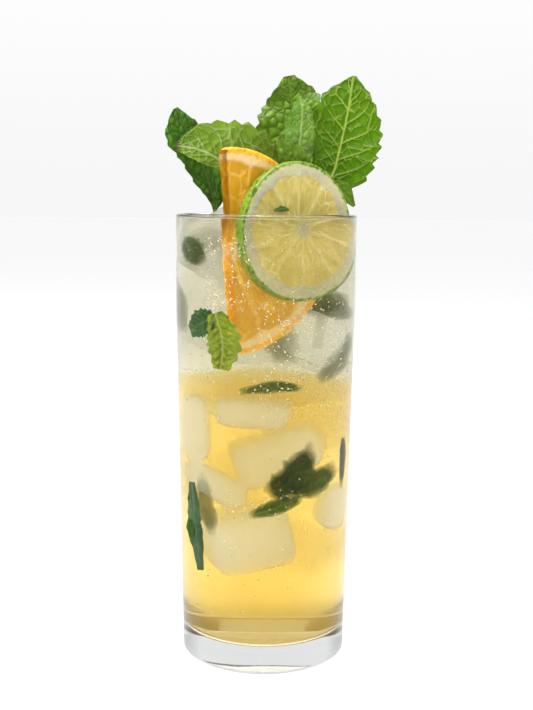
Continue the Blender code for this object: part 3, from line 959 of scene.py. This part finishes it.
# %% Leaf finish
def leaf_finish(name, green, green_dark, vein, brown_tip=0.0, gloss=0.4, glow=0.3, veins_shown=0.85,
                shine=0.2, left_dark=0.0, fading=0.0):
    """Waxy green skin, paler veins, painted light on the puckers' tops and painted shade between them, and
    light that shines through from behind.
    """
    material, tree, output = start_material(name)
    veins, domes, along, sides, body = (add(tree, "Attribute", attribute_name=mark).outputs["Fac"]
                                        for mark in ("vein", "dome", "along", "side", "body"))
    patch = spots(tree, 130.0, 3.0)
    speck = spots(tree, 1500.0)
    # Painted light and shade: the dome attribute paints the tops of the puckers lighter and the hollows
    # darker, over random patches of tone.
    painted_pucker_light_and_patches = maths(tree, 'ADD', span(tree, domes, 0.0, 0.8, 0.0, 0.65),
                span(tree, patch, 0.35, 0.65, 0.0, 0.35))
    colour = blend(tree, painted_pucker_light_and_patches, green_dark, green)
    colour = blend(tree, span(tree, speck, 0.4, 0.7, 0.0, 0.2), colour, green_dark)
    colour = blend(tree, span(tree, veins, 0.25, 0.9, 0.0, veins_shown), colour, vein)
    if left_dark:
        far_half = span(tree, sides, 0.0, 1.0, left_dark, 0.0)
        colour = blend(tree, far_half, colour, green_dark)
    if brown_tip:
        worn = maths(tree, 'ADD', along, span(tree, patch, 0, 1, -0.05, 0.05))
        colour = blend(tree, span(tree, worn, 1 - brown_tip, 1.0), colour, (0.07, 0.045, 0.02))
    bump = add(tree, "Bump", {"Strength": 0.3, "Distance": 0.1 * MM, "Height": speck})
    skin = add(tree, "BsdfPrincipled", {"Base Color": colour, "Roughness": gloss,
                                        "Normal": bump, "Specular IOR Level": shine})
    bright = blend(tree, 0.6, colour, (0.45, 0.60, 0.0), 'SCREEN')
    through = add(tree, "BsdfTranslucent", {"Color": bright})
    mix = add(tree, "MixShader", {0: glow, 1: skin, 2: through})
    if fading:
        there = maths(tree, 'ADD', body, span(tree, patch, 0.3, 0.7, -0.2, 0.2))
        shown = span(tree, there, 0.05, 0.75, 0.0, fading)
        clear = add(tree, "BsdfTransparent")
        mix = add(tree, "MixShader", {0: shown, 1: clear, 2: mix})
    tree.links.new(mix.outputs[0], output.inputs["Surface"])
    return material


deep_green = leaf_finish("mint_deep_green", (0.10, 0.26, 0.02), (0.025, 0.09, 0.006), (0.28, 0.42, 0.12),
                         glow=0.15, gloss=0.28, veins_shown=0.5, shine=0.4)
fresh_green = leaf_finish("mint_fresh_green", (0.20, 0.34, 0.02), (0.07, 0.16, 0.008), (0.32, 0.45, 0.10),
                          brown_tip=0.03, glow=0.2, gloss=0.33, veins_shown=0.4, shine=0.35)
under_green = leaf_finish("mint_under_green", (0.26, 0.42, 0.035), (0.13, 0.26, 0.015), (0.58, 0.66, 0.30),
                          brown_tip=0.06, glow=0.25)
right_green = leaf_finish("mint_right_green", (0.10, 0.23, 0.003), (0.045, 0.13, 0.001), (0.40, 0.50, 0.08),
                          glow=0.15, shine=0.12)
pale_green = leaf_finish("mint_pale_green", (0.28, 0.44, 0.07), (0.10, 0.22, 0.02), (0.50, 0.62, 0.24),
                         glow=0.2, left_dark=0.8)

# %% Leaves above the rim
RIM_LEAVES = [
    ("leaf_left_back", deep_green, "mint_green",
     [(-19.0, 14.0, 155.5), (-19.1, 13.8, 160.5), (-19.5, 13.0, 165.0), (-21.6, 11.2, 172.2),
      (-25.3, 8.4, 181.8), (-29.5, 5.4, 190.4), (-32.4, 3.0, 197.0)],
     [0.4, 0.5, 1.8, 4.8, 7.0, 8.4, 1.2], [0.4, 0.5, 4.2, 6.6, 7.2, 4.6, 0.6], (0.25, -0.95, 0.1),
     dict(fold=0.12, wave=0.9, waves=2.6)),
    ("leaf_centre_back", fresh_green, "mint_green",
     [(15.6, 9.2, 168.5), (12.2, 11.2, 179.4), (9.6, 12.6, 192.0), (8.6, 13.2, 201.0),
      (7.2, 12.2, 209.3)],
     [0.5, 12.0, 13.4, 9.6, 1.2], [0.5, 7.5, 9.6, 10.8, 2.6], (-0.1, -0.97, 0.2),
     dict(wave=1.4, waves=3.2, phase=1.0, cell=3.2)),
    ("leaf_right", right_green, "mint_green",
     [(19.9, 4.4, 166.8), (24.1, 5.2, 175.1), (26.1, 6, 182.9), (28.1, 7, 191.8), (29.8, 8, 201.7),
      (30.9, 9, 209.2)],
     [0.5, 7.5, 8.8, 11.2, 9.8, 0.5], [0.5, 11.4, 14.0, 13.4, 8.2, 0.8], (-0.12, -0.98, 0.15),
     dict(fold=0.06, waves=2.4, phase=2.0, raised=True, cell=4.0)),
    ("leaf_left_front", under_green, "mint_pale",
     [(15.6, 5.8, 167.6), (9.0, 4.6, 169.2), (-1.7, -0.6, 171.9), (-14.4, -5.4, 177.6),
      (-23.2, -8.0, 181.8), (-31.4, -10.0, 183.2)],
     [0.4, 2.0, 4.0, 3.0, 4.2, 1.6], [0.4, 5.0, 14.4, 15.4, 10.4, 0.8], (0.12, -0.95, 0.14),
     dict(fold=0.12, wave=0.9, waves=2.2, phase=0.6, raised=True, cell=3.4)),
    ("leaf_centre_front", pale_green, "mint_pale",
     [(14.8, 0.8, 168.6), (11.6, -0.8, 179.7), (11.8, -0.2, 188.4), (12.3, 1.2, 195.8),
      (11.4, 3.2, 201.4)],
     [0.5, 3.2, 5.6, 4.2, 0.4], [0.5, 5.2, 5.0, 4.2, 0.4], (0.15, -0.98, 0.1),
     dict(fold=-0.35, wave=0.7, waves=2.4, phase=0.4, columns=50, relief=0.35)),
    ("leaf_young_left", fresh_green, "mint_green",
     [(12.6, -2.4, 171.3), (8.2, -4.0, 178.8), (4.6, -3.6, 186.6)],
     [0.4, 3.6, 0.6], [0.4, 3.2, 0.6], (-0.3, -0.93, 0.2),
     dict(fold=0.3, waves=1.6, rows=40, columns=20)),
    ("leaf_young_right", fresh_green, "mint_green",
     [(14.2, -4.6, 171.3), (12.4, -6.0, 177.6), (10.0, -6.2, 184.6)],
     [0.4, 2.4, 0.5], [0.4, 2.8, 0.5], (0.2, -0.95, 0.2),
     dict(fold=0.3, wave=0.5, waves=1.6, rows=40, columns=20)),
    ("leaf_low_right", fresh_green, "mint_pale",
     [(20.6, 1.6, 170.2), (26.6, 2.2, 168.6), (31.4, 1.6, 163.0)],
     [0.4, 3.4, 0.5], [0.4, 3.0, 0.5], (-0.3, -0.9, 0.3),
     dict(fold=0.15, wave=0.5, waves=1.5, rows=36, columns=20)),
]
SCRAPS_ON_LIME = [
    ("scrap_rim", deep_green, "mint_green",
     [(2.6, -21.1, 161.4), (5.3, -19.3, 162.0), (7.8, -17.6, 161.6)],
     [0.4, 0.9, 0.3], [0.4, 1.1, 0.4], SLICE_FRONT,
     dict(fold=0.0, wave=0.1, rows=24, columns=8, relief=0.1, teeth=4, tooth=2.4)),
    ("scrap_side", deep_green, "mint_green",
     [(-4.6, -25.7, 166.2), (-4.1, -25.4, 167.6), (-3.7, -25.15, 168.9)],
     [0.3, 0.7, 0.3], [0.3, 0.6, 0.3], SLICE_FRONT,
     dict(fold=0.0, wave=0.1, rows=18, columns=8, relief=0.1, teeth=3, tooth=2.0)),
]
for name, finish, slot, spine, left, right, face, habit in RIM_LEAVES + SCRAPS_ON_LIME:
    leaf = mint_leaf(name, spine, left, right, face, **habit)
    settle(leaf, name, finish, slot, "mint_" + name, angle=60)

# %% [markdown]
# ## Stalk
# The sprig's stalk stands in the drink behind the fruit. It is a curve with thickness, turned
# into a mesh, because a stalk is long, round and gently bent.

# %% Stalk
STALK_PATH = ((13, 9, 112), (15, 9, 132), (17.2, 7.5, 152), (17.6, 5.6, 165.5))


def stalk_finish():
    """Pale green stalk with long streaks."""
    material, tree, output = start_material("mint_stalk")
    place = add(tree, "TexCoord")
    stretch = add(tree, "Mapping", {"Vector": place.outputs["Object"], "Scale": (900.0, 900.0, 60.0)})
    streak = add(tree, "TexNoise", {"Vector": stretch, "Scale": 1.0})
    colour = blend(tree, span(tree, streak.outputs[0], 0.4, 0.6), (0.24, 0.34, 0.08), (0.36, 0.44, 0.16))
    shader = add(tree, "BsdfPrincipled", {"Base Color": colour, "Roughness": 0.5})
    tree.links.new(shader.outputs[0], output.inputs["Surface"])
    return material


clear_selection()
bpy.ops.curve.primitive_bezier_curve_add()
stalk = bpy.context.active_object
line = stalk.data.splines[0]
line.bezier_points.add(len(STALK_PATH) - 2)
for knot, point in zip(line.bezier_points, STALK_PATH):
    knot.co = Vector(point) * MM
    knot.handle_left_type = 'AUTO'
    knot.handle_right_type = 'AUTO'
stalk.data.bevel_depth = 1.25 * MM
stalk.data.bevel_resolution = 3
stalk.data.use_fill_caps = True
bpy.ops.object.convert(target='MESH')
stalk = bpy.context.active_object
settle(stalk, "stalk", stalk_finish(), "mint_stalk", "mint_stem", angle=50)

# %% [markdown]
# ## Mint in the drink
# Loose leaves have sunk between the ice. Those against the front wall show sharply; the cloud
# hides the deeper ones. Crushed leaves are blunt, so their ends stay nearly half as wide as
# their middles.

# %% Sunk leaves
sunk_dark = leaf_finish("mint_sunk_dark", (0.07, 0.11, 0.004), (0.025, 0.05, 0.002), (0.10, 0.14, 0.012),
                        glow=0.1, fading=0.9)
sunk_faint = leaf_finish("mint_sunk_faint", (0.17, 0.22, 0.02), (0.08, 0.11, 0.01), (0.20, 0.25, 0.04),
                         glow=0.15, fading=0.55)
sunk_mid = leaf_finish("mint_sunk_mid", (0.17, 0.25, 0.012), (0.06, 0.11, 0.005), (0.20, 0.27, 0.03),
                       glow=0.15, fading=0.9)
sunk_wall = leaf_finish("mint_sunk_wall", (0.05, 0.15, 0.03), (0.02, 0.07, 0.012), (0.14, 0.26, 0.08),
                        glow=0.1)
sunk_bright = leaf_finish("mint_sunk_bright", (0.40, 0.46, 0.02), (0.22, 0.30, 0.01), (0.62, 0.66, 0.22))
BLUNT = 0.45
SUNK_LEAVES = [
    ("front", sunk_bright, [(-16.6, -25.0, 127), (-14.2, -26.4, 117.5), (-14.6, -26.0, 108)],
     (7.6, 5.8), (-0.45, -0.9, 0.0), 0.3),
    ("front_fold", sunk_wall, [(-17.2, -25.0, 125.0), (-21.3, -21.5, 123.3), (-25.0, -17.0, 120)],
     (5.2, 4.8), (-0.6, -0.8, 0.1), 0.5),
    ("upper", sunk_dark, [(-26.0, -7, 151), (-22.5, -11, 147), (-18.5, -13, 142.5)],
     (4.6, 5.0), (-0.4, -0.9, 0.1), 0.8),
    ("low", sunk_dark, [(1.0, -24.0, 64), (9, -23.6, 70), (16.5, -19.5, 81)],
     (7.0, 6.4), (0.3, -0.95, 0.0), 1.8),
    ("low_second", sunk_mid, [(4, -22.5, 70), (14, -20.5, 67), (24, -12.5, 72)],
     (6.0, 5.6), (0.2, -0.95, 0.2), 1.8),
    ("lower", sunk_mid, [(-5, -24.5, 57), (4, -24.5, 60), (13, -22, 63)],
     (3.4, 3.2), (0.1, -0.98, 0.1), 1.0),
    ("left", sunk_wall, [(-24.6, -15.0, 66), (-23.8, -16.6, 52), (-21.6, -19.0, 35)],
     (3.4, 3.6), (-0.35, -0.93, 0.0), 1.6),
    ("left_deep", sunk_faint, [(-20.5, -14.0, 70), (-18.5, -15.0, 58), (-16.0, -15.0, 46)],
     (4.4, 4.0), (-0.5, -0.85, 0.0), 1.4),
    ("right", sunk_dark, [(25.9, -11.2, 82), (26.1, -10.6, 75), (25.5, -10.8, 63)],
     (2.2, 2.0), (0.4, -0.9, 0.0), 0.8),
    ("middle", sunk_mid, [(-8, -20, 99.5), (2, -21, 101.5), (12, -19, 101)],
     (2.6, 2.4), (0.1, -0.98, 0.3), 1.0),
    ("shoulder", sunk_faint, [(9, -6, 126), (16, -5, 129), (25, -3, 130)],
     (5.4, 5.0), (0.3, -0.95, 0.1), 1.2),
    ("deep_left", sunk_faint, [(-25.5, 6, 138), (-23.5, 6, 128), (-21.0, 7, 117)],
     (3.4, 3.4), (-0.2, -1.0, 0.0), 1.5),
    ("deep_middle", sunk_faint, [(-8, 2, 128), (2, 2, 118), (6, 3, 106)],
     (7.0, 6.0), (0.0, -1.0, 0.0), 1.5),
    ("deep_right", sunk_faint, [(4, 0, 133), (15, 0, 128), (26, 2, 124)],
     (5.0, 5.0), (0.0, -1.0, 0.0), 1.5),
    ("deep_back", sunk_faint, [(-18, 6, 150), (-10, 6, 140), (-6, 6, 128)],
     (6.0, 6.0), (0.0, -1.0, 0.0), 1.5),
    ("deep_side", sunk_faint, [(24, 4, 118), (20, 2, 108), (14, 0, 100)],
     (4.0, 4.0), (0.0, -1.0, 0.0), 1.5),
]
WIDE_ENDS = {"front": (3.0, 3.0), "front_fold": (3.0, 2.4)}
for part, finish, spine, middles, face, wave in SUNK_LEAVES:
    start, end = WIDE_ENDS.get(part, (0.0, 0.0))
    left, right = ([max(start, BLUNT * middle), middle, max(end, BLUNT * middle)] for middle in middles)
    name = "sunk_leaf_" + part
    leaf = mint_leaf(name, spine, left, right, face, fold=0.15, wave=wave, rows=60, columns=32,
                     teeth=6, tooth=0.3)
    settle(leaf, name, finish, "mint_green", angle=60)

# %% [markdown]
# ## Bubbles
# Fizz clings to the wall and to the fruit. One small ball is modelled and copied many times at
# true size, and all the copies are joined, so the whole crowd is one mesh.

# %% Bubble finish
BUBBLE_BENDS = 0.76
BARELY_OFF_WALL = 0.05 * MM
LIME_BUBBLES = 150


def bubble_finish():
    """Air in the drink: light bends the other way at its skin, and its cap shines."""
    material, tree, output = start_material("bubble_air")
    tint = blend(tree, span(tree, spots(tree, 900.0), 0.3, 0.7), (1.0, 0.98, 0.90), (0.92, 0.86, 0.66))
    shader = add(tree, "BsdfPrincipled", {"Base Color": tint, "Roughness": 0.05,
                                          "Transmission Weight": 0.7, "IOR": BUBBLE_BENDS})
    tree.links.new(shader.outputs[0], output.inputs["Surface"])
    return material


# %% Copies of one bubble
def crowd_of_balls(name, places):
    """Copy one little ball to every (place, radius) and join them."""
    clear_selection()
    bpy.ops.mesh.primitive_uv_sphere_add(segments=8, ring_count=6, radius=1.0)
    ball = bpy.context.active_object
    corners = [v.co.copy() for v in ball.data.vertices]
    faces = [tuple(p.vertices) for p in ball.data.polygons]
    bpy.data.objects.remove(ball)
    verts = [place + corner * radius for place, radius in places for corner in corners]
    joined = [tuple(first + i for i in face)
              for first in range(0, len(verts), len(corners)) for face in faces]
    mesh = bpy.data.meshes.new(name)
    mesh.from_pydata(verts, [], joined)
    crowd = bpy.data.objects.new(name, mesh)
    bpy.context.scene.collection.objects.link(crowd)
    return crowd


# %% Bubbles on the wall and the lime
dice = random.Random(7)


def on_wall(low, high, turn_from, turn_to, smallest, largest):
    """A bubble on the inner wall between two heights (mm) and two turns from the front (degrees)."""
    z = dice.uniform(low, high) * MM
    turn = math.radians(dice.uniform(turn_from, turn_to))
    radius = (smallest + (largest - smallest) * dice.random() ** 2.5) * MM
    reach = inner_radius(z) - radius - BARELY_OFF_WALL
    return Vector((reach * math.sin(turn), -reach * math.cos(turn), z)), radius


places = []
for count, where in ((1100, (20, 156, -180, 180, 0.10, 0.36)), (260, (128, 153, -42, -10, 0.16, 0.42)),
                     (800, (92, 132, -8, 72, 0.10, 0.38)), (70, (100, 128, -60, 0, 0.15, 0.35)),
                     (60, (55, 66, -30, 30, 0.15, 0.35))):
    places += [on_wall(*where) for i in range(count)]
face_depth = LIME_CENTRE.dot(SLICE_FRONT) + LIME_THICKNESS / 2
for i in range(LIME_BUBBLES):
    turn = dice.uniform(0, math.tau)
    share = math.sqrt(dice.random()) * 0.95 * LIME_RADIUS
    along = math.cos(turn) * share
    high = LIME_CENTRE.z + math.sin(turn) * share
    if high < DRINK_LEVEL - MM:
        radius = (0.15 + 0.2 * dice.random() ** 2) * MM
        spot = SLICE_ALONG * (LIME_CENTRE.dot(SLICE_ALONG) + along) + SLICE_FRONT * (face_depth + radius)
        places.append((Vector((spot.x, spot.y, high)), radius))
bubbles = crowd_of_balls("bubbles", places)
settle(bubbles, "bubbles", bubble_finish(), "mojito", angle=180)
bubbles.visible_shadow = False
